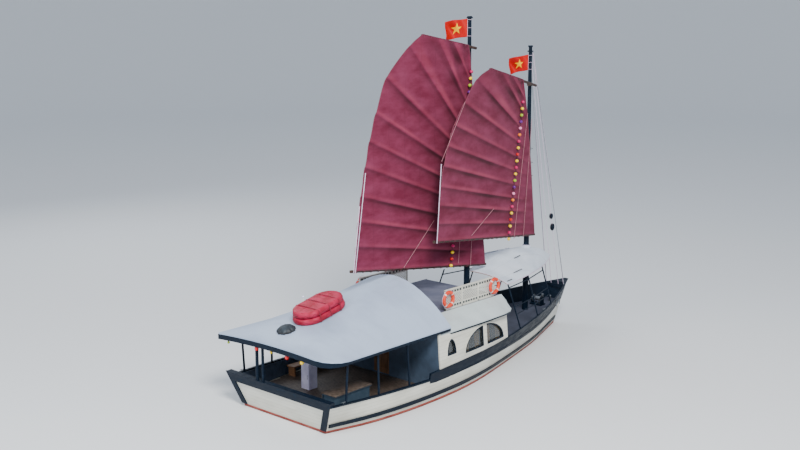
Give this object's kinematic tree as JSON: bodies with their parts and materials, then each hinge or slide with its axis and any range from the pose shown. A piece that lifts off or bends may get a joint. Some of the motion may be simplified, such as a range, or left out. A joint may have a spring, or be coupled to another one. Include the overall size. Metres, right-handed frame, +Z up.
{
  "type": "sailing junk",
  "caption": "Wooden touring junk with a transom stern, vaulted aft roof, low cabin, tented foredeck and two maroon fan-battened lug sails set on dark masts.",
  "frame": {"origin": "waterline plane, amidships, on the centreline", "axes": "+X to the bow, +Y to port, +Z up"},
  "size_m": [19.7742, 6.4716, 16.59],
  "materials": {
    "white_paint": "gloss oil paint on planks",
    "dark_paint": "gloss dark blue-black paint",
    "bottom_paint": "matt red bottom paint",
    "roof_paint": "satin pale blue-grey paint on boards",
    "tent_canvas": "proofed canvas",
    "sailcloth": "dyed cotton sailcloth",
    "teak": "oiled hardwood",
    "spars": "oiled spar timber",
    "deck_paint": "matt deck paint",
    "glazing": "dark window glass",
    "buoy_plastic": "orange plastic skin",
    "float_plastic": "red painted float",
    "cover_plastic": "dark grey plastic",
    "locker_paint": "pale lilac enamel",
    "counter_paint": "dark enamel",
    "bronze": "cast bronze",
    "galvanised": "galvanised steel",
    "stay_wire": "tarred wire",
    "flag_cloth": "bunting"
  },
  "bodies": {
    "hull": {"aft_bench_port": "teak", "aft_cap_rail": "dark_paint", "aft_roof": "roof_paint", "anchor": "galvanised", "bulwark_forward": "dark_paint", "cabin_bulkhead_aft": "white_paint", "cabin_bulkhead_front": "white_paint", "cabin_glass_port": "glazing", "cabin_glass_starboard": "glazing", "cabin_side_port": "white_paint", "cabin_side_starboard": "white_paint", "fore_flag": "flag_cloth", "fore_mast": "dark_paint", "foredeck": "deck_paint", "foredeck_tent": "tent_canvas", "forestay_port": "stay_wire", "forestay_starboard": "stay_wire", "galley_counter": "counter_paint", "galley_locker": "locker_paint", "hatch_coaming": "teak", "helm_pedestal": "teak", "hull_bottom": "bottom_paint", "hull_topsides": "white_paint", "life_float_lower": "float_plastic", "life_float_upper": "float_plastic", "lifebuoy_port": "buoy_plastic", "lifebuoy_starboard_aft": "buoy_plastic", "lifebuoy_starboard_fore": "buoy_plastic", "main_flag": "flag_cloth", "main_mast": "dark_paint", "roof_cover": "cover_plastic", "roof_frame_port": "dark_paint", "roof_frame_starboard": "dark_paint", "rubbing_strake_port": "dark_paint", "rubbing_strake_starboard": "dark_paint", "skirt_roof_port": "roof_paint", "skirt_roof_starboard": "roof_paint", "sundeck": "deck_paint", "sundeck_rail_port": "white_paint", "sundeck_rail_starboard": "white_paint", "tent_frame_port": "dark_paint", "tent_frame_starboard": "dark_paint", "transom_frame": "dark_paint", "windlass_frame": "dark_paint"},
    "main_rig": {"main_boom": "spars", "main_yard": "spars", "main_battens": "spars", "main_sail": "sailcloth"},
    "fore_rig": {"fore_boom": "spars", "fore_yard": "spars", "fore_battens": "spars", "fore_sail": "sailcloth"},
    "rudder_body": {"rudder": "bottom_paint"},
    "propeller_body": {"propeller": "bronze"},
    "helm": {"helm_wheel": "teak"},
    "door_aft": {"cabin_door_aft": "teak"},
    "door_front": {"cabin_door_front": "teak"},
    "hatch": {"hatch_lid": "teak"},
    "windlass": {"windlass_drum": "galvanised"}
  },
  "joints": [
    {"name": "main_sail_swing", "type": "hinge", "parent": "hull", "child": "main_rig", "pos_m": [1.55, 0, 4], "axis": [0, 0, -1], "range_deg": [-13, 67]},
    {"name": "fore_sail_swing", "type": "hinge", "parent": "hull", "child": "fore_rig", "pos_m": [6.1, 0, 4.8], "axis": [0, 0, 1], "range_deg": [0, 68]},
    {"name": "rudder_turn", "type": "hinge", "parent": "hull", "child": "rudder_body", "pos_m": [-8.9, 0, -0.7], "axis": [0, 0, 1], "range_deg": [-35, 35]},
    {"name": "propeller_spin", "type": "hinge", "parent": "hull", "child": "propeller_body", "pos_m": [-8.16, 0, -0.9], "axis": [1, 0, 0], "continuous": true},
    {"name": "helm_turn", "type": "hinge", "parent": "hull", "child": "helm", "pos_m": [-3.66, 0, 1.3], "axis": [1, 0, 0], "range_deg": [-455, 455]},
    {"name": "door_aft_swing", "type": "hinge", "parent": "hull", "child": "door_aft", "pos_m": [-4.1, -0.4196, 1.4], "axis": [0, 0, 1], "range_deg": [0, 110]},
    {"name": "door_front_swing", "type": "hinge", "parent": "hull", "child": "door_front", "pos_m": [0.9, 0.3304, 2], "axis": [0, 0, -1], "range_deg": [0, 90]},
    {"name": "hatch_lift", "type": "hinge", "parent": "hull", "child": "hatch", "pos_m": [3.52, 0, 1.2312], "axis": [0, 1, 0], "range_deg": [0, 95]},
    {"name": "windlass_spin", "type": "hinge", "parent": "hull", "child": "windlass", "pos_m": [7.15, 0, 1.502], "axis": [0, 1, 0], "continuous": true}
  ],
  "couplings": [
    {"joint": "helm_turn", "follows": "rudder_turn", "ratio": 12.857}
  ]
}
